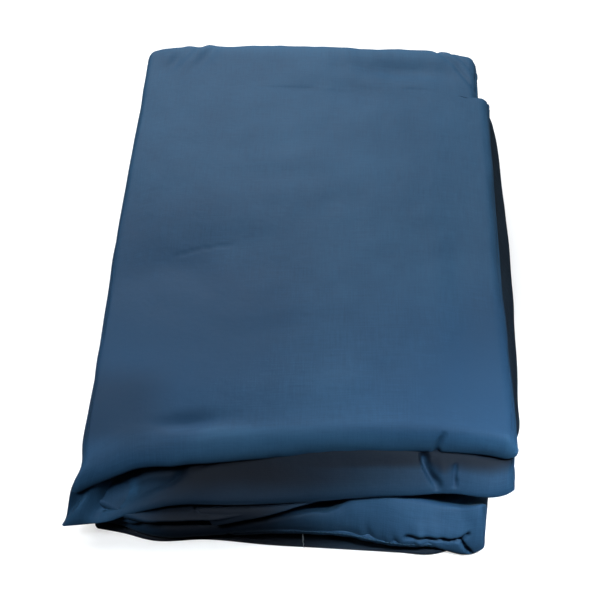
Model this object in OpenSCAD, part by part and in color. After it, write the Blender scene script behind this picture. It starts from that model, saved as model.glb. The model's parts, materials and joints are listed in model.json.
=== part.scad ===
// Soft spa cover folded into a flat packet.
// The packet lies on its base leaf at z = 0. X runs across it, Y runs from its front edge
// to its back fold and Z points up. The upper half opens like a book about the back fold.

/* [Packet] */
// Overall width, from the tip of the pointed corner to the side plies
overall_w = 334; // [320:1:360]
// Overall depth, from the rolled hem to the back fold
overall_d = 490; // [460:1:520]
// How far the folded leaves stay inside the overall width on the left
left_inset = 12; // [8:1:20]
// How far the folded leaves stay inside the overall width on the right
right_inset = 8; // [6:1:16]

/* [Leaves] */
// Thickness of the flat base leaf
base_t = 6; // [4:0.5:10]
// Thickness of the hemmed leaf
hem_t = 18; // [14:0.5:24]
// Thickness of each skirt leaf
skirt_t = 6.4; // [5:0.2:8]
// Thickness of the second leaf
second_t = 18.5; // [16:0.5:22]
// Thickness of the top leaf
top_t = 24; // [20:0.5:30]
// How far back of the packet's front the top leaf's front roll is
top_setback = 31; // [20:1:40]
// How far back of the packet's front the second leaf's front roll is
second_setback = 20; // [12:1:28]
// How far back of the packet's front the skirt leaves' folds are
skirt_setback = 7; // [5:1:12]

/* [Back fold] */
// Radius of the rolled back fold, which is the hinge
roll_r = 9.7; // [8:0.1:11]
// Gap between the upper and the lower half
fold_gap = 0.3; // [0.2:0.1:0.6]

/* [Hem] */
// Radius of the rolled hem
hem_r = 6; // [5:0.5:7]
// Width of the flat elastic inside the hem
elastic_w = 6; // [4:0.5:8]
// Thickness of the elastic
elastic_t = 1.4; // [1:0.1:2]

/* [Hidden] */
$fn = 64;

// Heights of the stack, from the floor up
hem_z = base_t;
skirt_z = hem_z + hem_t;
lower_top = skirt_z + 3 * skirt_t;
second_z = lower_top + fold_gap;
top_z = second_z + second_t;

// The fold axis and the outline of the leaves
front_y = -overall_d / 2;
axis_y = overall_d / 2 - roll_r;
axis_z = lower_top + fold_gap / 2;
leaf_back = axis_y - 0.5;
leaf_left = -overall_w / 2 + left_inset;
leaf_right = overall_w / 2 - right_inset;
corner_r = 14;

// The step in the top leaf's right edge, near the back
notch_w = 8;
notch_d = 72;

// The front of the lower half is narrower than its back
lower_left = leaf_left + 5;
lower_right = leaf_right - 4;
hem_right = lower_right - 16;
hem_left = leaf_left + 46;
taper_d = 90;

// Side plies: thin cloth edges that lie open along the right side
ply_t = 2.6;
ply_pitch = 4.4;

// Fabric colours
navy = [0.16, 0.27, 0.38];
navy_shade = [0.12, 0.19, 0.28];
elastic_white = [0.80, 0.80, 0.78];

// A flat leaf with a half-round fold along its front and its back
module leaf_profile(y_front, y_back, z_low, thick) {
  r = thick / 2;
  translate([y_front + r, z_low])
    square([y_back - y_front - thick, thick]);
  for (y = [y_front + r, y_back - r])
    translate([y, z_low + r])
      circle(r);
}

// A profile drawn in Y and Z, extruded from x_min to x_max
module across(x_min, x_max) {
  translate([x_min, 0, 0])
    rotate([90, 0, 90])
      linear_extrude(x_max - x_min)
        children();
}

// A plan outline, extruded through the whole packet
module through() {
  translate([0, 0, -1])
    linear_extrude(top_z + top_t + 2)
      children();
}

// A rectangle with round corners, made of true arcs
module round_plan(x_min, x_max, y_min, y_max, r) {
  translate([x_min + r, y_min])
    square([x_max - x_min - 2 * r, y_max - y_min]);
  translate([x_min, y_min + r])
    square([x_max - x_min, y_max - y_min - 2 * r]);
  for (x = [x_min + r, x_max - r], y = [y_min + r, y_max - r])
    translate([x, y])
      circle(r);
}

// The plan of a lower leaf, which is narrower along its front than along its back
module lower_plan(y_front, left_cut) {
  polygon([
    [hem_left, y_front],
    [hem_right, y_front],
    [lower_right, y_front + taper_d],
    [lower_right, leaf_back],
    [lower_left, leaf_back],
    [lower_left, y_front + left_cut]
  ]);
}

// A round bar along X, centred on the fold axis
module fold_bar(r, x_min, x_max) {
  translate([x_min, axis_y, axis_z])
    rotate([0, 90, 0])
      cylinder(r = r, h = x_max - x_min);
}

// The outermost leaf of the packet, with the step in its right edge
module top_leaf() {
  y_front = front_y + top_setback;
  color(navy)
    difference() {
      intersection() {
        across(leaf_left, leaf_right)
          leaf_profile(y_front, leaf_back, top_z, top_t);
        through()
          round_plan(leaf_left, leaf_right, y_front, leaf_back, corner_r);
      }
      translate([leaf_right - notch_w, leaf_back - notch_d, top_z - 1])
        cube([notch_w + 1, notch_d + 1, top_t + 2]);
    }
}

// The leaf under the top one, before its back is cut clear of the back fold
module second_leaf_blank() {
  y_front = front_y + second_setback;
  intersection() {
    across(leaf_left, leaf_right)
      leaf_profile(y_front, leaf_back, second_z, second_t);
    through()
      round_plan(leaf_left, leaf_right, y_front, leaf_back, corner_r / 2);
  }
}

// The leaf under the top one, which shows below it along the front
module second_leaf() {
  color(navy)
    difference() {
      second_leaf_blank();
      fold_bar(roll_r + fold_gap, leaf_left - 1, leaf_right + 1);
    }
}

// The second leaf's left front corner, drawn out to a point
module pointed_corner() {
  y_front = front_y + second_setback;
  color(navy)
    difference() {
      translate([0, 0, second_z])
        linear_extrude(second_t - 2)
          polygon([
            [leaf_left + 12, y_front + 12],
            [leaf_left, y_front + 40],
            [-overall_w / 2, front_y + 8],
            [leaf_left + 4, front_y + 4],
            [leaf_left + 40, y_front]
          ]);
      second_leaf_blank();
    }
}

// Cloth turned in under the step in the top leaf's right edge
module side_tuck() {
  tuck_t = 8;
  color(navy_shade)
    translate([leaf_right - notch_w, leaf_back - notch_d, top_z])
      cube([notch_w - 1, notch_d - corner_r, tuck_t]);
}

// Open cloth edges, one above the other, against the right side of a half
module side_plies(x_min, x_max, y_min, y_max, z_low, count) {
  for (i = [0 : count - 1])
    translate([x_min, y_min + 6 * i, z_low + i * ply_pitch])
      cube([x_max - x_min - 0.8 * i, y_max - y_min - 14 * i, ply_t]);
}

module upper_side_plies() {
  color(navy_shade)
    side_plies(leaf_right, overall_w / 2, -120, 150, second_z + 1.2, 4);
}

module lower_side_plies() {
  color(navy_shade)
    side_plies(lower_right, overall_w / 2 - 3, -130, 160, skirt_z + 1.2, 4);
}

// The rolled cloth that joins the two halves and turns about the fold axis
module back_fold_roll() {
  color(navy)
    fold_bar(roll_r, leaf_left + 2, leaf_right - 2);
}

// One of the thin skirt leaves under the second leaf, counted from the top
module skirt_leaf(count, setback) {
  y_front = front_y + skirt_setback + setback;
  color(navy_shade)
    difference() {
      intersection() {
        across(lower_left, lower_right)
          leaf_profile(y_front, leaf_back, lower_top - count * skirt_t, skirt_t);
        through()
          lower_plan(y_front, 9);
      }
      fold_bar(roll_r + 0.05, lower_left - 1, lower_right + 1);
    }
}

module skirt_leaf_1() {
  skirt_leaf(1, 5);
}

module skirt_leaf_2() {
  skirt_leaf(2, 2);
}

module skirt_leaf_3() {
  skirt_leaf(3, 0);
}

// The small pointed flap that hangs out in front of the lowest skirt leaf
module skirt_flap() {
  flap_x = -56;
  flap_t = 2.5;
  color(navy_shade)
    difference() {
      translate([0, 0, skirt_z + 0.2])
        linear_extrude(flap_t)
          polygon([
            [flap_x - 20, front_y + skirt_setback + 2],
            [flap_x, front_y + 1],
            [flap_x + 16, front_y + skirt_setback + 2]
          ]);
      skirt_leaf_3();
    }
}

// The thick hemmed leaf, narrower at its front than at its back
module hem_leaf() {
  y_front = front_y + hem_r;
  color(navy_shade)
    intersection() {
      across(lower_left, lower_right)
        leaf_profile(y_front, leaf_back, hem_z, hem_t);
      through()
        lower_plan(y_front, 14);
    }
}

// The hem: cloth rolled round the elastic along the front of the hemmed leaf
module rolled_hem() {
  color(navy)
    difference() {
      translate([hem_left + 60, front_y + hem_r, hem_z + hem_t / 2])
        rotate([0, 90, 0])
          cylinder(r = hem_r, h = hem_right - hem_left - 60);
      across(hem_left, hem_right + 1)
        leaf_profile(front_y + hem_r, leaf_back, hem_z, hem_t);
      elastic_band();
    }
}

module elastic_band() {
  elastic_y = front_y + 2.4;
  translate([hem_left + 66, elastic_y, hem_z + hem_t / 2 - elastic_w / 2])
    cube([hem_right - hem_left - 72, elastic_t, elastic_w]);
}

module hem_elastic() {
  color(elastic_white)
    elastic_band();
}

// The flat leaf that the packet rests on
module base_leaf() {
  y_front = front_y + 4;
  color(navy_shade)
    intersection() {
      across(lower_left + 3, lower_right - 5)
        leaf_profile(y_front, leaf_back - 2, 0, base_t);
      through()
        lower_plan(y_front, 18);
    }
}

top_leaf();
second_leaf();
pointed_corner();
side_tuck();
upper_side_plies();
back_fold_roll();
skirt_leaf_1();
skirt_leaf_2();
skirt_leaf_3();
skirt_flap();
hem_leaf();
rolled_hem();
hem_elastic();
base_leaf();
lower_side_plies();
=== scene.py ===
import functools
import json
import math

import bmesh
import bpy
import numpy as np
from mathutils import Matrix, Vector


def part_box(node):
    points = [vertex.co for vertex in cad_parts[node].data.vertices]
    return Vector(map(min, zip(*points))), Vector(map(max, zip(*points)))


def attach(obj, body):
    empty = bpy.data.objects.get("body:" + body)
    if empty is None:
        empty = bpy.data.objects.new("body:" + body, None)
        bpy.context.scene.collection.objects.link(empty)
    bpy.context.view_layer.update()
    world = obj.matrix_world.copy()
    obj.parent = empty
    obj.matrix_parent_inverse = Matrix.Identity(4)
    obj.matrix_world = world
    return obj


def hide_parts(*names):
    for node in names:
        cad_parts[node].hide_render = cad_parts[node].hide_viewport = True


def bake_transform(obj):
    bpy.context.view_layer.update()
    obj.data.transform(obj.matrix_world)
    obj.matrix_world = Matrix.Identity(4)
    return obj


MM = 0.001
UPPER = "upper_half"
LOWER = "lower_half"

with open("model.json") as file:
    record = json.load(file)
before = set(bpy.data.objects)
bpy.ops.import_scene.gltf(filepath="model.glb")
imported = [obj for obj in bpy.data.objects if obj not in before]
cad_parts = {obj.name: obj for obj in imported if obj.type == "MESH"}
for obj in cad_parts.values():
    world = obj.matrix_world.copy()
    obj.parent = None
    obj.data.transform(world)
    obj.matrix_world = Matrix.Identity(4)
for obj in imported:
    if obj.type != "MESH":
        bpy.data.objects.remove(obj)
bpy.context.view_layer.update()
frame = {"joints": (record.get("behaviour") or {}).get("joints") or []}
fold = frame["joints"][0]
AXIS_Y = fold["pos_m"][1] / MM
AXIS_Z = fold["pos_m"][2] / MM


# ---------------- curves and fields, in millimetres

def through(x, knots):
    """A smooth curve through (place, value) knots, read at the places x."""
    place, value = np.array(knots, float).T
    slope = np.gradient(value, place)
    x = np.clip(x, place[0], place[-1])
    i = np.clip(np.searchsorted(place, x) - 1, 0, len(place) - 2)
    width = place[i + 1] - place[i]
    t = (x - place[i]) / width
    rise = t * t * (3 - 2 * t)
    start = t * (1 - t) ** 2 * width * slope[i]
    end = t * t * (t - 1) * width * slope[i + 1]
    return value[i] + rise * (value[i + 1] - value[i]) + start + end


def ramp(x, low, high):
    """0 below low, 1 above high, and smooth between them."""
    t = np.clip((x - low) / (high - low), 0, 1)
    return t * t * (3 - 2 * t)


def hump(x, y, centre, size, turn=0.0):
    """A round hill 1 high at centre, size (long, wide), turned by some degrees."""
    c, s = math.cos(math.radians(turn)), math.sin(math.radians(turn))
    dx, dy = x - centre[0], y - centre[1]
    along, across = dx * c + dy * s, dy * c - dx * s
    return np.exp(-((along / size[0]) ** 2) - (across / size[1]) ** 2)


def ripples(p, seed, count, length, stretch=(1, 1, 1)):
    """Smooth irregular waves between about -1 and 1, the same for the same seed."""
    rng = np.random.default_rng(seed)
    total = np.zeros(len(p))
    q = p * np.array(stretch, float)
    for _ in range(count):
        way = rng.normal(size=3)
        way /= np.linalg.norm(way)
        k = 2 * np.pi / (length * rng.uniform(0.7, 1.6))
        bend = 1.3 * np.sin(q @ rng.normal(size=3) * k * 0.37 + rng.uniform(0, 6.3))
        total += np.sin(q @ way * k + rng.uniform(0, 6.3) + bend)
    return total / math.sqrt(count * 0.5) * 0.5


# ---------------- cloth meshes

def add(name, data):
    """A new object in the scene."""
    obj = bpy.data.objects.new(name, data)
    bpy.context.scene.collection.objects.link(obj)
    return obj


def put(name, points, faces, uv, body, slot):
    """A mesh object from points in millimetres, with a UV map of the cloth in metres."""
    mesh = bpy.data.meshes.new(name)
    mesh.from_pydata((points * MM).tolist(), [], faces)
    layer = mesh.uv_layers.new(name="weave")
    layer.data.foreach_set("uv", (np.array(uv, float) * MM).ravel())
    mesh.polygons.foreach_set("use_smooth", [True] * len(mesh.polygons))
    obj = add(name, mesh)
    obj["body"] = body
    obj["slot_name"] = slot
    return obj


def grid_faces(rows, cols, ring):
    """Quads of a grid whose rows close into rings if ring is true."""
    faces = []
    for i in range(rows - 1):
        for j in range(cols if ring else cols - 1):
            k = (j + 1) % cols
            faces.append((i * cols + j, i * cols + k, (i + 1) * cols + k, (i + 1) * cols + j))
    return faces


def grid_uv(grid, ring):
    """The cloth's own coordinates for each face corner of a grid: across, then along."""
    rows, cols = grid.shape[:2]
    step = np.linalg.norm(np.diff(grid, axis=1), axis=2).mean(axis=0)
    v = np.concatenate([[0], np.cumsum(step), [np.sum(step) + step.mean()]])
    u = np.concatenate([[0], np.cumsum(np.linalg.norm(np.diff(grid, axis=0), axis=2).mean(axis=1))])
    uv = []
    for i in range(rows - 1):
        for j in range(cols if ring else cols - 1):
            uv += [(u[i], v[j]), (u[i], v[j + 1]), (u[i + 1], v[j + 1]), (u[i + 1], v[j])]
    return uv


def grid_mesh(name, grid, body, slot, ring=False):
    rows, cols = grid.shape[:2]
    points = grid.reshape(-1, 3)
    return put(name, points, grid_faces(rows, cols, ring), grid_uv(grid, ring), body, slot)


def weld(obj, gap=0.02):
    """Joins the rows that meet at a leaf's closed edges, fills what is open, faces all outward."""
    bm = bmesh.new()
    bm.from_mesh(obj.data)
    bmesh.ops.remove_doubles(bm, verts=bm.verts, dist=gap * MM)
    bmesh.ops.dissolve_degenerate(bm, edges=bm.edges, dist=0.002 * MM)
    bmesh.ops.holes_fill(bm, edges=[e for e in bm.edges if e.is_boundary], sides=0)
    bmesh.ops.recalc_face_normals(bm, faces=bm.faces)
    if bm.calc_volume(signed=True) < 0:
        bmesh.ops.reverse_faces(bm, faces=bm.faces)
    bm.to_mesh(obj.data)
    bm.free()


def apply_modifiers(obj):
    """Replaces the mesh by what its modifiers make of it."""
    graph = bpy.context.evaluated_depsgraph_get()
    graph.update()
    made = bpy.data.meshes.new_from_object(obj.evaluated_get(graph))
    obj.modifiers.clear()
    old = obj.data
    obj.data = made
    bpy.data.meshes.remove(old)
    obj.data.name = obj.name


def smooth_mesh(obj):
    """One level of subdivision, applied."""
    mod = obj.modifiers.new("subdivision", "SUBSURF")
    mod.levels = mod.render_levels = 1
    apply_modifiers(obj)


def thicken(obj, thickness):
    """Gives a bare sheet its thickness, to both sides, and smooths it."""
    mod = obj.modifiers.new("cloth_thickness", "SOLIDIFY")
    mod.thickness = thickness * MM
    mod.offset = 0
    apply_modifiers(obj)
    smooth_mesh(obj)


def read(rows, key):
    """The vector that each row of a mesh's data has under key."""
    numbers = np.zeros(len(rows) * 3)
    rows.foreach_get(key, numbers)
    return numbers.reshape(-1, 3)


def vertices(obj):
    return read(obj.data.vertices, "co") / MM


def set_vertices(obj, points):
    obj.data.vertices.foreach_set("co", (points * MM).ravel())
    obj.data.update()


def push(obj, field):
    """Moves each point along its normal by field(points, normals), in millimetres."""
    points = vertices(obj)
    normals = read(obj.data.vertex_normals, "vector")
    set_vertices(obj, points + normals * field(points, normals)[:, None])


# ---------------- folded leaves

CAP_STEPS = 9


def along_depth(body_steps, nose_steps=12):
    """Places from a leaf's front lip, 0, to its rear, 3: the face, the body and the rear roll."""
    face = list(np.linspace(0, 1, nose_steps))
    body = list(1 + np.linspace(0, 1, body_steps) ** 1.2)[1:]
    rear = list(2 + np.linspace(0, 1, 9))[1:]
    return np.array(face + body + rear)


def face_curve(s, ramp_share, bend):
    """Depth and height, 0 to 1, up a leaf's front: a round roll, or a sloping apron with a lip."""
    angle = s * np.pi / 2
    lip = 0.1
    flare = 0.14 * (1 - (1 - s) ** 8) + 0.86 * s ** bend
    depth = (1 - ramp_share) * (1 - np.cos(angle)) + ramp_share * (1 + lip) * s * s / (s + lip)
    height = (1 - ramp_share) * np.sin(angle) + ramp_share * flare
    return depth, height


def leaf_sheet(spec, side, x, places, tight):
    """One sheet of a leaf, its top or its low side, as y and z over stations and places."""
    sign = 1 if side == "top" else -1
    front = through(x, spec["front"]) + spec["corner"] * (1 - tight)
    back = through(x, spec["back"]) - spec["corner"] * (1 - tight)
    deep, rise = through(x, spec[side + "_deep"]), through(x, spec[side + "_rise"])
    slope = through(x, spec[side + "_slope"])
    s = places[None, :]
    rear = np.clip(s - 2, 0, 1) * np.pi / 2
    inner = np.clip(s - 1, 0, 1)
    share = through(x, spec["ramp"]) if sign > 0 else 0.0
    depth, height = face_curve(np.clip(s, 0, 1), share, spec.get("bend", 1.4))
    y = front + deep * depth
    y = y + inner * (back - spec["rear_deep"] - front - deep) + spec["rear_deep"] * np.sin(rear)
    z = through(x, spec["lip_z"]) + sign * rise * height
    settled = spec[side](np.broadcast_to(x, y.shape), y)
    z = z + (settled - z) * ramp(y - front - deep, 0, slope)
    return y, z, rear


def leaf_grid(spec, stations, squeeze, places):
    """A leaf's top and low sheets joined into one ring of points per station."""
    x, tight = stations[:, None], squeeze[:, None]
    y_top, z_top, rear = leaf_sheet(spec, "top", x, places, tight)
    y_low, z_low, _ = leaf_sheet(spec, "low", x, places, tight)
    y_low = y_top + (y_low - y_top) * tight
    middle = (z_top + z_low) / 2
    half_top = (z_top - middle) * np.cos(rear)
    both = []
    for y, half in ((y_top, half_top), (y_low, -half_top)):
        z = middle + half * tight
        left, right = through(y, spec["left"]), spec["right"](y)
        lo, hi = spec["span"]
        share = (x - lo) / (hi - lo)
        both.append(np.stack([x + (1 - share) * (left - lo) + share * (right - hi), y, z], axis=2))
    top, low = both
    return np.concatenate([top, low[:, -2:0:-1]], axis=1)


def station_list(span, caps, step):
    """Stations across a leaf, close together where its left and right edges roll over."""
    lo, hi = span
    turn = np.linspace(np.pi / 2, 0, CAP_STEPS + 1)
    left = lo + caps[0] * (1 - np.sin(turn))
    right = hi - caps[1] * (1 - np.sin(turn))
    count = int((hi - caps[1] - lo - caps[0]) / step)
    flat = np.linspace(lo + caps[0], hi - caps[1], count)[1:-1]
    stations = np.concatenate([left, flat, right[::-1]])
    squeeze = np.concatenate([np.cos(turn), np.ones(len(flat)), np.cos(turn)[::-1]])
    return stations, squeeze


SIM_FRAMES = 16
SIM_CAP = 1.2          # the most that a point may move, in millimetres
SOFTEN_ROUNDS = 14
CLOTH_RULES = {
    "quality": 5, "mass": 0.15, "tension_stiffness": 12, "compression_stiffness": 12, "shear_stiffness": 6,
    "bending_stiffness": 0.25, "use_pressure": True, "uniform_pressure_force": 1.5,
    "vertex_group_mass": "held", "pin_stiffness": 0.4,
}


def soften(obj, moved):
    """Averages each point's movement with its neighbours', so only the broad buckles stay."""
    ends = np.zeros(len(obj.data.edges) * 2, dtype=int)
    obj.data.edges.foreach_get("vertices", ends)
    one, other = ends.reshape(-1, 2).T
    count = np.bincount(ends, minlength=len(moved)).astype(float)[:, None]
    for _ in range(SOFTEN_ROUNDS):
        total = np.zeros_like(moved)
        np.add.at(total, one, moved[other])
        np.add.at(total, other, moved[one])
        moved = 0.35 * moved + 0.65 * total / np.maximum(count, 1)
    return moved


def settle(obj, growth):
    """Cloth simulation that lets a leaf's slightly oversized cloth buckle a little."""
    before = vertices(obj)
    group = obj.vertex_groups.new(name="held")
    edge_share = np.clip(ramp(-before[:, 1], 120, 215) + ramp(np.abs(before[:, 0]), 110, 150), 0, 1)
    for i, share in enumerate(edge_share):
        group.add([i], 0.25 + 0.6 * float(share), "REPLACE")
    cloth = obj.modifiers.new("cloth", "CLOTH")
    rules = cloth.settings
    for name, value in CLOTH_RULES.items():
        setattr(rules, name, value)
    rules.shrink_min = -growth
    rules.effector_weights.gravity = 0
    cloth.collision_settings.use_collision = False
    cloth.point_cache.frame_start = 1
    cloth.point_cache.frame_end = SIM_FRAMES
    for frame_number in range(1, SIM_FRAMES + 1):
        bpy.context.scene.frame_set(frame_number)
    apply_modifiers(obj)
    moved = soften(obj, vertices(obj) - before)
    length = np.linalg.norm(moved, axis=1)
    share = np.minimum(length, SIM_CAP) / np.maximum(length, 1e-9)
    set_vertices(obj, before + moved * share[:, None])
    obj.vertex_groups.clear()
    bpy.context.scene.frame_set(1)


def dress(obj, wrinkles, *nodes):
    """Pushes in a piece's wrinkles, and puts it in the place of its CAD nodes."""
    push(obj, wrinkles)
    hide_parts(*nodes)
    return obj


def make_leaf(name, spec, body, slot, step=3.2, body_steps=90, growth=0.0, extra=()):
    """A closed leaf of folded cloth: lipped front, rolled back, closed left and right edges."""
    stations, squeeze = station_list(spec["span"], spec["caps"], step)
    grid = leaf_grid(spec, stations, squeeze, np.sort(np.append(along_depth(body_steps), extra)))
    obj = grid_mesh(name, grid, body, slot, ring=True)
    weld(obj)
    if growth:
        settle(obj, growth)
    smooth_mesh(obj)
    return obj


def level(height):
    return lambda x, y: np.full(np.broadcast(x, y).shape, float(height))


def edge(knots):
    return lambda y: through(y, knots)


def flat(value):
    return [(-200, value), (200, value)]


def groove(points, path, width, depth, axes=(0, 1)):
    """A sharp valley with slightly raised banks along a path of (place, place) points."""
    q = points[:, list(axes)]
    valley = np.zeros(len(points))
    for start, end in zip(path[:-1], path[1:]):
        a, d = np.array(start, float), np.array(end, float) - np.array(start, float)
        t = np.clip((q - a) @ d / (d @ d), 0, 1)
        gap = np.linalg.norm(q - (a + t[:, None] * d), axis=1) / width
        valley = np.maximum(valley, np.exp(-gap * gap * 1.6) - 0.32 * np.exp(-((gap - 1.7) ** 2)))
    reach = np.array(path, float)
    ends = np.minimum(np.linalg.norm(q - reach[0], axis=1), np.linalg.norm(q - reach[-1], axis=1))
    return -depth * valley * ramp(ends, -width, width * 1.5)


def ply_edges(p, n, levels, seed, step=0.9):
    """The separate plies that show where a leaf's sides and back are folded over."""
    rng = np.random.default_rng(seed)
    spread = ripples(p, seed + 1, 6, 150, (1, 1, 0.1)) * 0.9
    z = p[:, 2] + spread
    out = np.zeros(len(p))
    for level_z in levels:
        out -= 1.15 * np.exp(-(((z - level_z) / 0.75) ** 2))
    bounds = [-1e3, *sorted(levels), 1e3]
    for low, high in zip(bounds[:-1], bounds[1:]):
        inside = ramp(z, low - 0.4, low + 0.4) * ramp(-z, -high - 0.4, -high + 0.4)
        sway = ripples(p, seed + int(high) % 89 + 3, 5, 80, (1, 1, 0.05))
        out += inside * step * (rng.uniform(-0.7, 0.7) + 0.7 * sway)
    side = np.abs(n[:, 0]) + np.clip(n[:, 1], 0, 1)
    return out * ramp(side, 0.25, 0.75) * ramp(p[:, 1], -212, -186)


# ---------------- the upper half

NOTCH_Y = 162.0
NOTCH_PLACE = 1 + (NOTCH_Y + 193) / 402    # the step, as a place in along_depth


def top_right(y):
    """The top leaf's right edge, with the step near the back where the corner is tucked down."""
    ahead = through(y, [(-240, 155), (-205, 157), (-145, 157.5), (-110, 157), (-60, 156), (10, 157),
                        (85, 158), (140, 159), (NOTCH_Y, 160)])
    behind = through(y, [(NOTCH_Y, 150), (200, 151), (235, 150)])
    return np.where(y < NOTCH_Y, ahead, behind)


# hollows and rises in the top panel: height, centre, size and turn
TOP_HILLS = [
    (-4.4, (-102, -45), (80, 28), 16), (-2.7, (38, 166), (46, 17), -4), (-3.8, (88, 197), (46, 11), -4),
    (1.0, (30, 60), (90, 70), 0), (-1.6, (125, -60), (16, 110), 0), (-2.2, (-122, 205), (22, 7), 52),
    (-1.8, (-98, 208), (26, 6), 60), (1.3, (-110, 212), (20, 6), 56),
]


def top_height(x, y):
    """The top panel's height: nearly flat, with broad hollows where the cloth sags."""
    z = 84.4 + 0.9 * np.cos(x / 95)
    for height, centre, size, turn in TOP_HILLS:
        z = z + height * hump(x, y, centre, size, turn)
    return z


def top_leaf():
    spec = {
        "span": (-152, 157), "caps": (7, 10), "corner": 5, "bend": 0.95,
        "ramp": [(-152, 0.3), (-100, 0.3), (-50, 0.2), (20, 0.1), (157, 0.1)],
        "front": [(-152, -236), (-143, -231), (-129, -224), (-116, -218), (-85, -214), (-50, -209),
                  (-19, -204.5), (36, -198.5), (103, -196), (130, -198), (157, -202)],
        "back": [(-152, 217), (-146, 222.5), (-136, 227.5), (-120, 230.5), (-110, 233), (-104, 230.5),
                 (-94, 234.3), (-81, 231.8), (-50, 233.5), (0, 234.5), (60, 233), (118, 230.5),
                 (130, 229), (140, 225), (157, 222)],
        "lip_z": [(-152, 57), (-143, 60), (-129, 64), (-116, 66), (-85, 66.5), (-50, 66), (157, 66)],
        "top_deep": [(-152, 20), (-116, 24), (-85, 21), (-50, 16), (0, 13), (60, 12), (157, 9)],
        "top_rise": [(-152, 19.5), (-130, 16.5), (-116, 15.5), (-50, 16.5), (100, 17), (157, 15.5)],
        "low_deep": flat(2.0), "low_rise": [(-152, 2.6), (-50, 3.4), (157, 3.4)],
        "top_slope": flat(40), "low_slope": flat(14), "rear_deep": 13.0,
        "top": top_height, "low": level(62.3),
        "left": [(-240, -156.5), (-228, -155.5), (-224, -153), (-200, -152), (-114, -151), (-12, -151),
                 (104, -150), (190, -148.5), (235, -148)],
        "right": top_right,
    }
    extra = NOTCH_PLACE + np.array([-0.010, -0.004, -0.0012, 0.0012, 0.004, 0.010])
    obj = make_leaf("top_leaf_cloth", spec, UPPER, "cover_fabric", growth=0.05, extra=extra)
    return dress(obj, top_wrinkles, "top_leaf", "side_tuck")


def top_wrinkles(p, n):
    """The small folds in the top leaf: a tuck at the front right, drawn corners, faint creases."""
    out = ripples(p, 11, 7, 90, (1, 0.7, 1)) * 0.45 * ramp(p[:, 2], 70, 84)
    out += ripples(p, 12, 8, 26, (1, 0.55, 1)) * 0.16
    up = ramp(n[:, 2], 0.0, 0.5)
    front = np.clip(-n[:, 1], 0, 1)
    out += up * groove(p, [(-100, -29), (-78, -21), (-55, -17)], 1.6, 0.9)
    out -= 5.0 * hump(p[:, 0], p[:, 1], (-77, -187), (23, 6.5), 8)
    out += 0.9 * hump(p[:, 0], p[:, 1], (-62, -199), (46, 6), 7)
    out += groove(p, [(104, -191.5), (100.5, -195.5), (96, -199)], 2.4, 2.6)
    rear = ramp(p[:, 1], 175, 232)
    out += rear * ripples(p, 13, 8, 17, (1, 0.35, 0.3)) * (0.14 + 0.4 * ramp(-p[:, 0], 70, 100))
    out += up * groove(p, [(112, 228), (130, 206), (146, 174)], 2.8, 1.5)
    out += up * groove(p, [(122, 229), (139, 209), (150, 186)], 1.8, 1.0)
    lip = ramp(-p[:, 2], -76, -64) * ramp(-p[:, 1], 185, 200)
    out += lip * front * ripples(p, 14, 8, 22, (1, 0.2, 0.4)) * 0.4
    return out + ply_edges(p, n, (66.5, 69.6, 74.2, 79.5), 15, 1.0)


def second_low(x, y):
    """The second leaf's underside, which droops where nothing lies below its drawn-out corner."""
    return 43.75 - 10 * ramp(-x, 114, 142) * ramp(-y, 200, 230)


def second_height(x, y):
    """The second leaf's top, which drops into a pocket behind its drawn-out corner."""
    pocket = ramp(-x, 80, 100) * ramp(x, -152, -143) * ramp(-y, 190, 213)
    return 62 + (second_low(x, y) + 2.6 - 62) * pocket


def second_leaf():
    spec = {
        "span": (-167, 157), "caps": (3, 7), "corner": 2,
        "ramp": [(-167, 0.5), (-100, 0.4), (-60, 0.8), (20, 0.8), (157, 0.55)],
        "front": [(-167, -243), (-150, -242.5), (-130, -241), (-120, -238.5), (-101, -235), (-41, -232),
                  (10, -228), (48, -223.5), (81, -221), (104, -218.5), (148, -219.5), (157, -216)],
        "back": [(-167, 234), (157, 234.5)],
        "lip_z": [(-167, 27.5), (-150, 30.5), (-136, 33), (-120, 38.5), (-101, 43.5), (-85, 45.6),
                  (-41, 46), (157, 46)],
        "top_deep": [(-167, 3), (-160, 9), (-154, 11), (-147, 8), (-136, 7), (-107, 10), (-94, 13), (-81, 19),
                     (-60, 26), (60, 26), (157, 20)],
        "top_rise": [(-167, 1.5), (-160, 13), (-154, 21), (-148, 9), (-142, 4.5), (-136, 5), (-107, 6.5),
                     (-94, 8), (-81, 11.5), (-60, 15.5), (157, 15.5)],
        "low_deep": [(-167, 1), (-101, 1.5), (157, 1.8)],
        "low_rise": [(-167, 1), (-101, 1.6), (-85, 2.0), (157, 2.0)],
        "top_slope": [(-167, 10), (-107, 9), (-81, 12), (157, 12)],
        "low_slope": flat(12), "rear_deep": 8.0,
        "top": second_height, "low": second_low,
        "left": [(-244, -167.5), (-238, -165), (-231, -160), (-218, -155), (-200, -151), (0, -150),
                 (235, -149)],
        "right": edge([(-222, 156), (-200, 157.5), (0, 155), (235, 153)]),
    }
    obj = make_leaf("second_leaf_cloth", spec, UPPER, "cover_fabric", growth=0.03)
    return dress(obj, second_wrinkles, "second_leaf", "pointed_corner")


def second_wrinkles(p, n):
    """Tucks at the front right and soft folds over the sloping front face."""
    face = ramp(-p[:, 1], 188, 200) * ramp(n[:, 2], -0.1, 0.2)
    out = face * ripples(p, 21, 8, 70, (1, 0.6, 0.6)) * 0.8
    out += face * ripples(p, 22, 8, 20, (1, 0.5, 0.5)) * 0.2
    out += face * groove(p, [(91, -195), (92, -203), (96, -210), (101, -215)], 3.3, 7.0)
    out += face * groove(p, [(113.5, -204), (113, -210), (113.5, -215)], 1.6, 5.6)
    out += face * 2.2 * hump(p[:, 0], p[:, 1], (105, -207), (5, 9), 10)
    return out + ply_edges(p, n, (47.5, 51.0, 56.5), 25)


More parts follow.
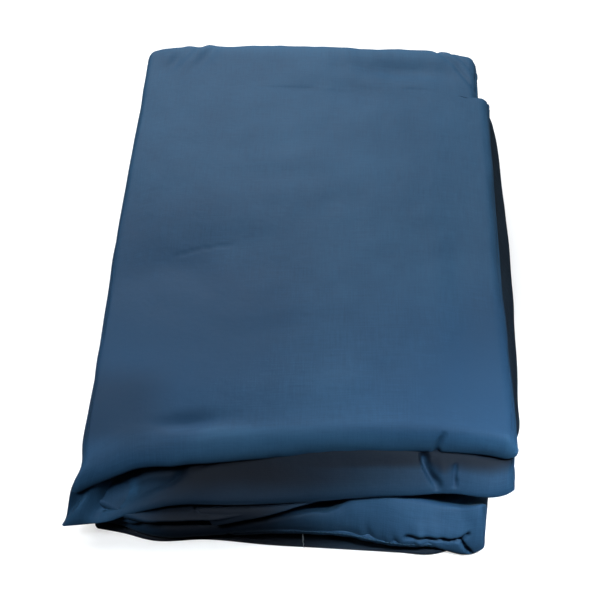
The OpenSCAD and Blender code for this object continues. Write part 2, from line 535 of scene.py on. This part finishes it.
# ---------------- the lower half

def thin_spec(top, low, front, lip_z, right, corner=3, nose=None):
    """The shared shape of a thin skirt leaf between the heights low and top."""
    half = (top - low) / 2
    deep, rise = nose or (flat(3.5), flat(half))
    return {
        "span": (-150, 152), "caps": (3, 4), "corner": corner, "ramp": flat(0.0),
        "front": front, "back": [(-150, 232), (0, 234.5), (150, 233)], "lip_z": lip_z,
        "top_deep": deep, "low_deep": flat(3.5),
        "top_rise": rise, "low_rise": flat(half),
        "top_slope": flat(24), "low_slope": flat(24), "rear_deep": half,
        "top": level(top), "low": level(low),
        "left": [(-245, -149), (-225, -150.5), (0, -150), (235, -148)],
        "right": edge(right),
    }


def lower_wrinkles(seed, levels, strength=0.5):
    """Soft handling folds for a lower leaf, strongest at its edges."""
    def field(p, n):
        side = np.clip(1 - np.abs(n[:, 2]), 0, 1)
        out = ripples(p, seed, 7, 60) * 0.2 * np.abs(n[:, 2])
        out += side * strength * ripples(p, seed + 1, 8, 26, (1, 1, 0.3))
        return out + ply_edges(p, n, levels, seed + 5, 0.6)
    return field


def skirt_leaves():
    """Three thin leaves of gathered skirt between the second leaf and the hem leaf."""
    fronts = {
        1: [(-150, -228), (-128, -236), (-121, -239.5), (-113, -241), (-105, -243), (-93, -242),
            (-81, -241.5), (-62, -240), (-54, -240), (-40, -238), (-20, -235), (0, -230), (14, -227),
            (30, -216), (60, -210), (152, -206)],
        2: [(-150, -226), (-124, -233), (-112, -236), (-104, -231), (-80, -226), (-50, -225), (10, -219),
            (40, -210), (152, -205)],
        3: [(-150, -228), (-124, -236), (-114, -239), (-104, -235), (-92, -229), (-50, -226), (10, -219),
            (40, -209), (152, -204)],
    }
    low_nose = ([(-150, 3.5), (-125, 4), (-100, 7), (-40, 7), (20, 4), (152, 3.5)],
                [(-150, 4.5), (-125, 4), (-100, 2.2), (-40, 2.2), (20, 3.5), (152, 4.5)])
    lips = {1: [(-150, 38), (-121, 37), (-105, 36.4), (-54, 36.6), (0, 39), (152, 40)],
            2: flat(33.6), 3: [(-150, 27), (-112, 27.5), (152, 27.5)]}
    right = [(-240, 140), (-205, 143), (-150, 151), (0, 153), (235, 151)]
    made = []
    for count in (1, 2, 3):
        low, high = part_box(f"skirt_leaf_{count}")
        nose = low_nose if count == 1 else None
        spec = thin_spec(high.z / MM - 0.15, low.z / MM + 0.15, fronts[count], lips[count], right, nose=nose)
        obj = make_leaf(f"skirt_leaf_{count}_cloth", spec, LOWER, "skirt_fabric", 4.0, 60)
        wrinkles = lower_wrinkles(30 + 3 * count, [(low.z * 0.55 + high.z * 0.45) / MM])
        made.append(dress(obj, wrinkles, f"skirt_leaf_{count}"))
    return made


HEM_PATH_Z = [(-60, 12), (-49, 13.5), (-28, 16.5), (20, 17), (38, 15), (60, 13), (76, 12), (103, 10.8),
              (125, 9.5), (150, 9)]
HEM_PATH_Y = [(-60, -236), (-28, -235), (20, -234.5), (38, -234.6), (60, -238), (76, -239.6), (103, -238.6),
              (125, -239.5), (150, -239)]


def hem_leaf():
    spec = {
        "span": (-149, 139), "caps": (4, 9), "corner": 4,
        "ramp": [(-149, 0.2), (-60, 0.2), (30, 0.25), (60, 0.45), (139, 0.4)],
        "front": [(-149, -227), (-125, -232), (-108, -238.5), (-69, -240), (-28, -237), (20, -236.5),
                  (38, -236.5), (60, -240), (76, -242), (103, -241.5), (112, -242.5), (125, -244),
                  (139, -242)],
        "back": [(-149, 232), (0, 234.5), (139, 233)],
        "lip_z": [(-149, 12), (-108, 14), (-69, 15), (-28, 18.5), (20, 19), (38, 17), (60, 15), (76, 13.5),
                  (100, 12), (112, 7), (139, 6)],
        "top_deep": [(-149, 5), (-69, 5), (-28, 4.5), (0, 5), (14, 6), (28, 8), (38, 14), (52, 20), (70, 22),
                     (90, 21), (104, 20), (125, 20), (139, 19)],
        "top_rise": [(-149, 8), (-69, 6.5), (-40, 6.5), (-20, 7.5), (0, 12), (14, 15), (26, 15.5),
                     (34, 20), (42, 25), (52, 27.4), (70, 28.8), (80, 27), (90, 23.5), (104, 22.5),
                     (112, 27), (118, 28), (128, 32), (139, 36)],
        "low_deep": flat(4), "low_rise": [(-149, 5), (-69, 6), (-28, 6), (60, 6), (76, 5.5), (100, 5),
                                          (112, 6.2), (139, 5.6)],
        "top_slope": [(-149, 20), (20, 16), (139, 14)],
        "low_slope": [(-149, 16), (-50, 24), (60, 24), (110, 14), (139, 10)],
        "rear_deep": 8.0,
        "top": level(23.8), "low": level(6.4),
        "left": [(-245, -149), (-225, -149.5), (235, -147)],
        "right": edge([(-243, 137.5), (-228, 138.5), (-215, 140), (-150, 149), (235, 150)]),
    }
    obj = make_leaf("hem_leaf_cloth", spec, LOWER, "skirt_fabric", growth=0.03)
    return dress(obj, hem_wrinkles, "hem_leaf")


FORK = [[(80, 20), (92, 18.3), (104, 16.4), (112, 15.6), (118.5, 17), (124.6, 22)],
        [(118.5, 17), (123, 11.5), (128, 5)]]


# gathers above the elastic: place along the hem, height and size
GATHERS = [(59, 18, 1.6), (67, 15, 2.9), (75, 19, 1.5), (81, 14, 2.4), (90, 17, 3.0), (101, 19, 1.6),
           (47, 22, 2.2)]


def hem_wrinkles(p, n):
    """Gathers above the elastic, a forked crease, and soft folds over the big front face."""
    x, y, z = p.T
    face = ramp(-y, 205, 218)
    out = face * ripples(p, 41, 8, 55, (1, 0.6, 0.6)) * 0.9
    out += face * ripples(p, 42, 8, 18, (1, 0.5, 0.7)) * 0.25
    for place, height, size in GATHERS:
        out += face * size * 0.5 * hump(x, z, (place, height), (3.8, 8), 14)
        out -= face * size * 0.45 * hump(x, z, (place + 5.5, height - 2), (2.2, 7), 14)
    return out + fork(p) + ply_edges(p, n, (9.5, 13.5, 19.0), 45)


def fork(p):
    """The forked crease at the front right corner of the hem, its upper bank puffed out."""
    front = ramp(-p[:, 1], 222, 230)
    crease_z = through(p[:, 0], FORK[0])
    above = p[:, 2] - crease_z
    puff = 1.7 * ramp(above, 0.2, 2.2) * ramp(-above, -13, -3)
    puff *= ramp(p[:, 0], 80, 92) * ramp(-p[:, 0], -128, -116)
    return front * (puff + sum(groove(p, path, 1.5, 5.5, (0, 2)) for path in FORK))


def base_leaf():
    spec = {
        "span": (-148, 137), "caps": (3, 4), "corner": 4, "ramp": flat(0.2),
        "front": [(-148, -229), (-125, -233), (-106, -238), (-65, -236), (-19, -239), (27, -240.5),
                  (77, -242.5), (100, -243.5), (112, -240), (120, -236), (137, -236)],
        "back": [(-148, 231), (0, 233.5), (137, 232)],
        "lip_z": [(-148, 2.8), (-90, 2.4), (0, 1.5), (60, 1.7), (100, 2.4), (137, 3.2)],
        "top_deep": flat(3.5), "low_deep": flat(2.5),
        "top_rise": [(-148, 3), (-90, 1.6), (-60, 0.7), (0, 0.7), (60, 0.9), (100, 2.0), (112, 2.7),
                     (137, 2.7)],
        "low_rise": [(-148, 2.6), (-90, 2.2), (0, 1.3), (60, 1.5), (100, 2.2), (137, 3.0)],
        "top_slope": [(-148, 6), (-90, 12), (-60, 28), (85, 28), (110, 8), (137, 6)],
        "low_slope": flat(10), "rear_deep": 3.0,
        "top": level(6.0), "low": level(0.15),
        "left": [(-245, -148), (235, -146)],
        "right": edge([(-245, 137), (-225, 138), (-150, 145), (235, 146)]),
    }
    obj = make_leaf("base_leaf_cloth", spec, LOWER, "skirt_fabric", 5.0, 50)
    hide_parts("base_leaf")
    return obj


def tube_grid(path, radii, around=16, squash=0.85, aside=(0, 0, 1)):
    """Rings round a path of points, of one radius or of radii; the path never runs along aside."""
    tangent = np.gradient(path, axis=0)
    tangent /= np.linalg.norm(tangent, axis=1)[:, None]
    side = np.cross(tangent, aside)
    side /= np.linalg.norm(side, axis=1)[:, None]
    lift = np.cross(side, tangent)
    turn = np.linspace(0, 2 * np.pi, around, endpoint=False)[None, :, None]
    ring = side[:, None] * np.cos(turn) * squash + lift[:, None] * np.sin(turn)
    return path[:, None] + ring * np.broadcast_to(radii, len(path))[:, None, None]


def hem_line(x):
    """The hem's centre line along the front."""
    return np.column_stack([x, through(x, HEM_PATH_Y), through(x, HEM_PATH_Z)])


def rolled_hem():
    """The hem with its elastic inside, gathered where the elastic pulls it."""
    length = np.arange(-58, 118, 1.1)
    path = hem_line(length)
    ends = ramp(length, -60, -40) * ramp(-length, -118, -100)
    path[:, 1] += 3.5 * (1 - ends)
    gathers = ramp(length, 38, 60)
    wave = ripples(np.column_stack([length, length * 0, length * 0]), 51, 9, 11)
    radii = (3.9 + wave * (0.3 + 0.75 * gathers)) * (0.15 + 0.85 * ends)
    path[:, 1] += wave * gathers * 0.8
    path[:, 2] += np.roll(wave, 4) * gathers * 0.6
    obj = grid_mesh("rolled_hem_cloth", tube_grid(path, radii), LOWER, "skirt_fabric", ring=True)
    weld(obj)
    smooth_mesh(obj)
    return dress(obj, lambda points, _: fork(points), "rolled_hem")


def hem_elastic():
    """The flat braided elastic inside the hem."""
    path = hem_line(np.arange(-44, 98, 1.5)) + [0, 1.2, 0]
    grid = tube_grid(path, 1.9, 12, 0.22)
    obj = grid_mesh("hem_elastic_band", grid, LOWER, "elastic", ring=True)
    weld(obj)
    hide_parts("hem_elastic")
    return obj


STITCH_PITCH = 3.1
STITCH_LENGTH = 2.3


def hem_stitches():
    """A row of lock stitches along the front of the hem, in thread of the cloth's own blue."""
    grids = []
    for place in np.arange(-48, 100, STITCH_PITCH):
        span = np.linspace(place - STITCH_LENGTH / 2, place + STITCH_LENGTH / 2, 5)
        path = hem_line(span)
        over = 3.75 + 0.28 * np.sin(np.linspace(0, np.pi, 5))
        path[:, 2] += 2.55
        path[:, 1] -= over - 0.7
        grids.append(tube_grid(path, 0.26, 6, 1.0))
    return joined_tubes("hem_stitches", grids, LOWER, "skirt_fabric")


def loose_thread():
    """One pale thread end that hangs from the hem."""
    tail = through_points([(6.0, -236.2, 13.6), (6.2, -239.6, 13.0), (6.1, -240.8, 10.8), (6.7, -241.4, 8.4),
                           (6.4, -241.3, 6.4), (7.0, -242.2, 4.6)], 22)
    grid = tube_grid(tail, 0.21, 6, 1.0, (1, 0.2, 0))
    return joined_tubes("loose_thread", [grid], LOWER, "elastic")


def through_points(points, count):
    """Count points on one smooth curve through the given ones."""
    points = np.array(points, float)
    t = np.linspace(0, 1, len(points))
    fine = np.linspace(0, 1, count)
    return np.column_stack([through(fine, list(zip(t, points[:, k]))) for k in range(3)])


def joined_tubes(name, grids, body, slot):
    """One mesh of many closed tubes."""
    points, faces, uv, base = [], [], [], 0
    for grid in grids:
        rows, cols = grid.shape[:2]
        points.append(grid.reshape(-1, 3))
        faces += [tuple(base + k for k in face) for face in grid_faces(rows, cols, True)]
        uv += grid_uv(grid, True)
        for ring in (range(cols - 1, -1, -1), range((rows - 1) * cols, rows * cols)):
            faces.append(tuple(base + k for k in ring))
            uv += [(0, 0)] * cols
        base += rows * cols
    obj = put(name, np.concatenate(points), faces, uv, body, slot)
    weld(obj, 0.001)
    return obj


def skirt_flap():
    """The ply of skirt folded over the front, whose edge runs up to the second leaf."""
    edge_line = [(-57.5, -241.5, 31), (-50, -241, 32.5), (-39, -239.5, 34.8), (-28, -238, 36.8),
                 (-18, -236, 38.2), (-7, -233, 39.8), (4, -229.5, 41.4), (16, -226.5, 42.4)]
    rim = through_points(edge_line, 34)
    root = through_points([(-72, -232, 39), (-60, -231.5, 40), (-39, -230, 40.4), (-18, -227, 41),
                           (4, -222, 42), (20, -216, 42.6)], 34)
    rows = []
    for share in np.linspace(0, 1, 12):
        row = rim + (root - rim) * share
        row[:, 2] += 1.2 * math.sin(math.pi * share)
        rows.append(row)
    obj = grid_mesh("skirt_flap_cloth", np.array(rows), LOWER, "skirt_fabric")
    push(obj, lambda p, n: ripples(p, 71, 6, 22) * 0.3)
    thicken(obj, 0.9)
    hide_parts("skirt_flap")
    return obj


FOLD_STEPS = 25
FOLD_THICKNESS = 0.7
FOLD_LEAD = 9       # how far each ply reaches in over and under the halves
BACK_PLIES = [("back_fold_outer", 9.2, (-152, 156), 91), ("back_fold_middle", 7.0, (-149, 153), 92),
              ("back_fold_inner", 4.6, (-146, 150), 93)]


def fold_shell(name, radius, span, seed):
    """A ply of cloth wrapped round the back fold, from the upper half's rear to the lower half's."""
    turn = np.linspace(np.pi / 2, -np.pi / 2, FOLD_STEPS)
    rows = []
    for place in np.linspace(*span, 90):
        inward = min(1.0, (place - span[0] + 1) / 30, (span[1] - place + 1) / 16)
        r = radius * (0.45 + 0.55 * math.sin(math.pi / 2 * inward))
        round_y, round_z = AXIS_Y + r * np.cos(turn), AXIS_Z + r * np.sin(turn)
        rows.append(np.column_stack([np.full(FOLD_STEPS, place), round_y, round_z]))
    grid = np.array(rows)
    lead, tail = grid[:, :1] - [0, FOLD_LEAD, 0], grid[:, -1:] - [0, FOLD_LEAD, 0]
    grid = np.concatenate([lead, grid, tail], axis=1)
    obj = grid_mesh(name, grid, UPPER, "cover_fabric")
    push(obj, lambda p, n: ripples(p, seed, 7, 40, (1, 0.5, 0.5)) * 0.35 * ramp(p[:, 1], 235, 238))
    thicken(obj, FOLD_THICKNESS)
    return obj


def back_fold():
    """Three plies that carry the cover round its back fold; they are attached to neither half."""
    shells = [fold_shell(*ply) for ply in BACK_PLIES]
    for shell in shells:
        del shell["body"]
        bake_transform(shell)
        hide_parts("back_fold_roll")
    return shells


# ---------------- loose plies on the right side

def ply_grid(path, thick, around=14):
    """A closed blade of cloth through rows of (inner x, inner z, outer x, outer z) at each y."""
    turn = np.linspace(0, 2 * np.pi, around, endpoint=False)
    rings = []
    count = len(path)
    for i, (y, x_in, z_in, x_out, z_out) in enumerate(path):
        ends = math.sin(math.pi * min(1, (i + 0.02) / 6, (count - 1 - i + 0.02) / 2.5) / 2)
        a, b = np.array([x_in, z_in]), np.array([x_out, z_out])
        middle, half = (a + b) / 2, (b - a) / 2 * (0.25 + 0.75 * ends)
        side = np.array([-half[1], half[0]]) / np.linalg.norm(half)
        bulge = -side * 1.6 * (1 - np.cos(turn)[:, None] ** 2)
        ring = middle + half * np.cos(turn)[:, None] + side * np.sin(turn)[:, None] * thick * ends + bulge
        rings.append(np.column_stack([ring[:, 0], np.full(around, y), ring[:, 1]]))
    return np.array(rings)


def side_plies(name, body, slot, node_name, reach, blades, seed):
    """Thin drooping plies beyond the leaves' right edge, one blade of cloth each."""
    low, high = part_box(node_name)
    parts = []
    for count, (inner, z_in, fall, y_trim) in enumerate(blades):
        y = np.linspace(low.y / MM + y_trim[0], high.y / MM + y_trim[1], 90)
        spots = np.column_stack([y * 0, y, y * 0])
        sway = ripples(spots, seed + count, 6, 70)
        out = np.minimum(through(y, reach) - count * 2.1 + sway * 0.5, high.x / MM + 2)
        drop = z_in - fall + ripples(spots, seed + 7 + count, 6, 90) * 1.2
        path = zip(y, np.full(len(y), inner), z_in + sway * 0.8, out, drop)
        grid = ply_grid(list(path), 0.75)
        blade = grid_mesh(f"{name}_{count + 1}", grid, body, slot, ring=True)
        weld(blade)
        smooth_mesh(blade)
        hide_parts(node_name)
        parts.append(blade)
    return parts


# ---------------- materials

def new_material(name):
    mat = bpy.data.materials.new(name)
    mat.use_nodes = True
    nodes = mat.node_tree.nodes
    nodes.clear()
    out = nodes.new("ShaderNodeOutputMaterial")
    shader = nodes.new("ShaderNodeBsdfPrincipled")
    mat.node_tree.links.new(shader.outputs[0], out.inputs[0])
    return mat, mat.node_tree, shader


def node(tree, kind, **settings):
    made = tree.nodes.new(kind)
    for key, value in settings.items():
        setattr(made, key, value)
    return made


def fill(target, values):
    """Sets a node's own sockets to constants."""
    for socket, value in values.items():
        target.inputs[socket].default_value = value


def feed(tree, socket, value):
    """Links a socket to another, or sets it to a constant."""
    if isinstance(value, bpy.types.NodeSocket):
        tree.links.new(value, socket)
    else:
        socket.default_value = value


def maths(tree, operation, *terms):
    """A Math node whose inputs are each a socket or a number."""
    step = node(tree, "ShaderNodeMath", operation=operation)
    for socket, value in zip(step.inputs, terms):
        feed(tree, socket, value)
    return step.outputs[0]


def noise(tree, vector, scale, detail=2.0, rough=0.5, stretch=None):
    """Noise over a vector socket, optionally stretched, as a value from 0 to 1."""
    if stretch:
        turn = node(tree, "ShaderNodeMapping")
        turn.inputs["Scale"].default_value = stretch
        tree.links.new(vector, turn.inputs["Vector"])
        vector = turn.outputs[0]
    cloud = node(tree, "ShaderNodeTexNoise")
    fill(cloud, {"Scale": scale, "Detail": detail, "Roughness": rough})
    tree.links.new(vector, cloud.inputs["Vector"])
    return cloud.outputs[0]


def blend_colour(tree, share, low, high):
    """A colour from low to high by a share socket."""
    mix = node(tree, "ShaderNodeMix", data_type="RGBA")
    for index, value in ((0, share), (6, low), (7, high)):
        feed(tree, mix.inputs[index], value)
    return mix.outputs[2]


def weave_height(tree, across, along, pitch):
    """Plain weave: warp and weft threads that pass over and under each other."""
    u, v = (maths(tree, "SINE", product(tree, way, math.pi / pitch)) for way in (across, along))
    warp, weft = (maths(tree, "ABSOLUTE", wave) for wave in (u, v))
    top = maths(tree, "GREATER_THAN", product(tree, u, v), 0.0)
    under = maths(tree, "SUBTRACT", 1.0, top)
    return total(tree, product(tree, warp, top), product(tree, weft, under))


def spread_out(tree, value, start=0.0, end=1.0, low=0.0, high=1.0, kind="LINEAR"):
    """A value that goes from low at start to high at end."""
    part = node(tree, "ShaderNodeMapRange", interpolation_type=kind)
    fill(part, {"From Min": start, "From Max": end, "To Min": low, "To Max": high})
    tree.links.new(value, part.inputs["Value"])
    return part.outputs[0]


window = functools.partial(spread_out, kind="SMOOTHSTEP")


def product(tree, *values):
    """All the values multiplied together."""
    return functools.reduce(lambda a, b: maths(tree, "MULTIPLY", a, b), values)


def total(tree, *values):
    """All the values added together."""
    return functools.reduce(lambda a, b: maths(tree, "ADD", a, b), values)


# painted shade on the top panel, in spots: centre, inner and outer radius in metres, and tone
PANEL_SHADE_SPOTS = [
    ((-0.125, -0.075, 0.08), 0.02, 0.19, -0.33), ((-0.16, -0.18, 0.075), 0.01, 0.10, -0.3),
    ((0.155, -0.14, 0.078), 0.015, 0.12, -0.25), ((-0.082, -0.187, 0.08), 0.002, 0.024, -0.3),
]


def painted_shade_share(tree, spot, shade_paint):
    """How much painted shade shows: most low at the front left, as dark as the photograph."""
    x, y, z = (spot.outputs[axis] for axis in "XYZ")
    within = functools.partial(window, tree)
    gap = maths(tree, "ABSOLUTE", maths(tree, "SUBTRACT", z, AXIS_Z * MM))
    off_fold = maths(tree, "MAXIMUM", within(gap, 0.0007, 0.0027), within(y, -0.220, -0.230))
    # painted shade low on the front faces at the left, kept off the fold plane
    across = product(tree, within(x, shade_paint["reach"], -0.03), within(x, -0.15, -0.085), off_fold)
    top = shade_paint["top"]
    depth = product(tree, within(z, top, top - 0.006), within(z, 0.049, 0.057, shade_paint["low"], 0.97))
    share = product(tree, across, within(y, -0.15, -0.21), depth)
    # painted shade on the top leaf's front roll at the left
    corner = product(tree, within(x, -0.08, -0.12, 0.0, 0.36), within(y, -0.13, -0.165),
                     within(y, -0.215, -0.195), within(z, 0.060, 0.066))
    share = maths(tree, "MAXIMUM", share, corner)
    if not shade_paint["under_crease"]:
        return share
    # painted shadow on the second leaf's face just under the top leaf's crease
    crease = product(tree, within(z, 0.0530, 0.0615, 0.0, 0.94), within(y, -0.185, -0.195))
    return maths(tree, "MAXIMUM", share, crease)


def painted_panel_light(tree, place, spot):
    """Painted shade and painted highlight on the top panel, darker or paler than its mean, after the
    photograph.
    """
    x, y, z = (spot.outputs[axis] for axis in "XYZ")
    within = functools.partial(window, tree)
    # painted shade over the top panel ahead of its middle, behind the front roll
    front = product(tree, within(z, 0.068, 0.074, 0.0, -0.17), within(y, -0.03, -0.10),
                    within(y, -0.201, -0.184))
    # painted highlight on the lip of the front roll, above the crease
    rim = product(tree, within(y, -0.187, -0.199), within(z, 0.060, 0.066, 0.0, 0.28),
                  within(x, -0.10, -0.04))
    # the last part is a painted highlight along the back edge
    parts = [front, rim, within(y, 0.205, 0.232, 0.0, 0.3)]
    # painted shade in round spots
    for centre, near, far, most in PANEL_SHADE_SPOTS:
        distance = node(tree, "ShaderNodeVectorMath", operation="DISTANCE")
        distance.inputs[1].default_value = centre
        tree.links.new(place, distance.inputs[0])
        parts.append(within(distance.outputs["Value"], near, far, most, 0.0))
    return total(tree, *parts)


WEAVE_PITCH = 0.0009
# where the painted shade shows: x that it reaches, the height it stops at, its share low down
PLAIN_SHADE_PAINT = {
    "colour": (0.0015, 0.002, 0.004), "reach": 0.05, "top": 0.066, "low": 0.93, "under_crease": False,
}
COVER_SHADE_PAINT = PLAIN_SHADE_PAINT | {"colour": (0.004, 0.0055, 0.0095), "reach": 0.24, "low": 0.79}
SECOND_SHADE_PAINT = COVER_SHADE_PAINT | {"colour": (0.0022, 0.0034, 0.0066), "top": 0.08, "under_crease": True}


def cloth_material(name, dark, light, shade_paint=PLAIN_SHADE_PAINT):
    """Navy plain-weave polyester: threads, slubs, handling marks, wear on sharp folds with painted shade in
    creases, painted light and shade on the top panel, and painted shade low at the front.
    """
    mat, tree, shader = new_material(name)
    links = tree.links
    cloth = node(tree, "ShaderNodeUVMap", uv_map="weave").outputs[0]
    place = node(tree, "ShaderNodeTexCoord").outputs["Object"]
    split = node(tree, "ShaderNodeSeparateXYZ")
    links.new(cloth, split.inputs[0])
    threads = weave_height(tree, split.outputs[0], split.outputs[1], WEAVE_PITCH)
    slub_a = noise(tree, cloth, 1.0, 2, 0.6, stretch=(950, 45, 1))
    slub_b = noise(tree, cloth, 1.0, 2, 0.6, stretch=(45, 950, 1))
    slubs = product(tree, total(tree, slub_a, slub_b), 0.5)
    marks = noise(tree, place, 16, 4, 0.6)
    spot = node(tree, "ShaderNodeSeparateXYZ")
    links.new(place, spot.inputs[0])
    # pointiness: paler along sharp folds as wear, darker in creases as painted shade
    pointiness = node(tree, "ShaderNodeNewGeometry").outputs["Pointiness"]
    fold = spread_out(tree, pointiness, 0.47, 0.58)
    tone = total(tree, product(tree, slubs, 0.75), product(tree, marks, 0.45), product(tree, threads, 0.12),
                 product(tree, fold, 0.16), painted_panel_light(tree, place, spot))
    # colour from the tone: wear and marks, with painted shade and painted highlight mixed in
    wear_and_painted_light = blend_colour(tree, spread_out(tree, tone, 0.40, 1.02), (*dark, 1), (*light, 1))
    # painted shade: the darkest colour laid over the cloth where shadow falls at the front
    colour = blend_colour(tree, painted_shade_share(tree, spot, shade_paint), wear_and_painted_light, (*shade_paint["colour"], 1))
    links.new(colour, shader.inputs["Base Color"])
    links.new(spread_out(tree, slubs, low=0.52, high=0.72), shader.inputs["Roughness"])
    crinkle = noise(tree, place, 150, 3, 0.55)
    height = total(tree, product(tree, threads, 0.00005), product(tree, crinkle, 0.00045),
                   product(tree, slubs, 0.00012))
    bump = node(tree, "ShaderNodeBump")
    fill(bump, {"Strength": 0.6, "Distance": 1.0})
    links.new(height, bump.inputs["Height"])
    links.new(bump.outputs[0], shader.inputs["Normal"])
    fill(shader, {"Specular IOR Level": 0.10, "Sheen Weight": 0.06, "Sheen Roughness": 0.35,
                  "Sheen Tint": (0.45, 0.72, 1.0, 1)})
    return mat


# ---------------- stage

FLOOR_REACH = 60.0


def studio():
    """The plain pale floor, which reflects no light back up into the folds."""
    mesh = bpy.data.meshes.new("floor")
    far = FLOOR_REACH
    corners = [(-far, -far, 0), (far, -far, 0), (far, far, 0), (-far, far, 0)]
    mesh.from_pydata(corners, [], [(0, 1, 2, 3)])
    floor = add("floor", mesh)
    mat, _, shader = new_material("pale_floor")
    fill(shader, {"Base Color": (0.5, 0.5, 0.5, 1), "Roughness": 0.9, "Specular IOR Level": 0.0,
                  "Emission Color": (1, 1, 1, 1), "Emission Strength": 0.58})
    mesh.materials.append(mat)
    floor.visible_diffuse = False
    floor.visible_glossy = False


def sky():
    """A soft light tent, brighter above and at the back; the camera sees a plain pale backdrop."""
    world = bpy.data.worlds.new("tent")
    bpy.context.scene.world = world
    world.use_nodes = True
    tree = world.node_tree
    tree.nodes.clear()
    link = tree.links.new
    split = node(tree, "ShaderNodeSeparateXYZ")
    link(node(tree, "ShaderNodeTexCoord").outputs["Generated"], split.inputs[0])
    up = spread_out(tree, split.outputs["Z"], -0.15, 0.6, 0.05, 0.36)
    away = spread_out(tree, split.outputs["Y"], -0.8, 0.8, 0.0, 1.3)
    light = node(tree, "ShaderNodeBackground")
    link(product(tree, up, away), light.inputs["Strength"])
    backdrop = node(tree, "ShaderNodeBackground")
    fill(backdrop, {"Color": (0.64, 0.645, 0.65, 1)})
    choose = node(tree, "ShaderNodeMixShader")
    link(node(tree, "ShaderNodeLightPath").outputs["Is Camera Ray"], choose.inputs[0])
    link(light.outputs[0], choose.inputs[1])
    link(backdrop.outputs[0], choose.inputs[2])
    link(choose.outputs[0], node(tree, "ShaderNodeOutputWorld").inputs[0])


# name, place, what it points at, size, power, colour, and spread where it isn't 180 degrees
LIGHTS = [
    ("key", (-0.16, 0.98, 0.88), (0, 0.02, 0.05), 0.6, 18.3, (1, 1, 1)),
    ("overhead", (0.02, -0.14, 1.15), (0.02, -0.1, 0), 0.3, 6.0, (0.84, 0.93, 1.0)),
    ("front_right", (0.42, -0.42, 0.95), (0.17, -0.235, 0.02), 0.16, 0.42, (0.78, 0.90, 1.0), 24),
    ("side_right", (1.5, 0.25, 0.5), (0, 0, 0.04), 0.7, 3.0, (0.92, 0.96, 1.0)),
    ("side_left", (-1.5, 0.1, 0.6), (0, 0, 0.04), 0.7, 1.6, (0.92, 0.96, 1.0)),
    ("front_left", (-0.34, -0.52, 0.85), (-0.12, -0.22, 0.04), 0.2, 0.12, (0.86, 0.93, 1.0), 24),
]


def aim(name, data, place, way):
    """A lamp or camera at place that faces along way."""
    obj = add(name, data)
    obj.location = place
    obj.rotation_mode = "QUATERNION"
    obj.rotation_quaternion = way.to_track_quat("-Z", "Y")
    return obj


def area_light(name, place, target, size, power, colour, spread=180):
    """A round soft light that faces target."""
    data = bpy.data.lights.new(name, "AREA")
    data.spread = math.radians(spread)
    data.shape = "DISK"
    data.size = size
    data.energy = power
    data.color = colour
    aim(name, data, place, Vector(target) - Vector(place))


CAMERA_PLACE = (0.018, -0.71225, 0.845)


def camera():
    """The view from the front, 50 degrees above the horizon."""
    elevation, azimuth = math.radians(50), math.radians(1.7)
    back = Vector((
        math.sin(azimuth) * math.cos(elevation),
        -math.cos(azimuth) * math.cos(elevation),
        math.sin(elevation),
    ))
    data = bpy.data.cameras.new("camera")
    data.lens = 78.1
    data.sensor_width = 36
    bpy.context.scene.camera = aim("camera", data, CAMERA_PLACE, -back)


# ---------------- build

camera()
studio()
sky()
for lamp in LIGHTS:
    area_light(*lamp)
bpy.context.scene.view_settings.view_transform = "Standard"

cover_tones = (0.011, 0.039, 0.083), (0.026, 0.078, 0.147)
cover = cloth_material("cover_cloth", *cover_tones, COVER_SHADE_PAINT)
second = cloth_material("second_cloth", *cover_tones, SECOND_SHADE_PAINT)
skirt = cloth_material("skirt_cloth", (0.010, 0.034, 0.073), (0.025, 0.069, 0.129))
stitching = cloth_material("stitching", (0.022, 0.055, 0.095), (0.035, 0.085, 0.14))
# a dark copy of the cloth, painted shade for the right side plies and the base leaf, which lie in shadow
inner = cloth_material("painted_shade_cloth", (0.0022, 0.0055, 0.011), (0.007, 0.016, 0.028))
thread = cloth_material("thread", (0.30, 0.34, 0.38), (0.45, 0.49, 0.52))

made = [
    top_leaf(), second_leaf(), *skirt_leaves(), skirt_flap(), hem_leaf(), rolled_hem(), hem_elastic(),
    hem_stitches(), loose_thread(), base_leaf(), *back_fold(),
]
UPPER_REACH = [(-185, 160), (-181, 161), (-143, 164), (-94, 165.7), (-44, 167.2), (10, 167.9), (65, 167.5),
               (122, 166.7), (150, 165), (166, 163), (175, 159)]
made += side_plies("upper_ply", UPPER, "cover_fabric", "upper_side_plies", UPPER_REACH,
                   [(153, 78, 22, (-64, 17)), (152, 66, 14, (-40, 11)), (151, 57, 9, (-20, 3))], 60)
LOWER_REACH = [(-160, 152), (-110, 159), (-40, 163), (20, 164), (90, 163), (150, 159), (170, 153)]
made += side_plies("lower_ply", LOWER, "skirt_fabric", "lower_side_plies", LOWER_REACH,
                   [(148, 41, 7, (-15, 6)), (148, 35, 6, (-8, 2)), (147, 29, 5, (0, -4))], 80)

finish = {"cover_fabric": cover, "skirt_fabric": skirt, "elastic": thread}
# the base leaf and the right side plies take the dark copy with painted shade
special = {"second_leaf_cloth": second, "hem_stitches": stitching, "base_leaf_cloth": inner}
for half in ("upper", "lower"):
    special |= {f"{half}_ply_{number}": inner for number in (1, 2, 3)}
for piece in made:
    piece.data.materials.clear()
    piece.data.materials.append(special.get(piece.name, finish[piece["slot_name"]]))
    if "body" in piece:
        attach(piece, piece["body"])
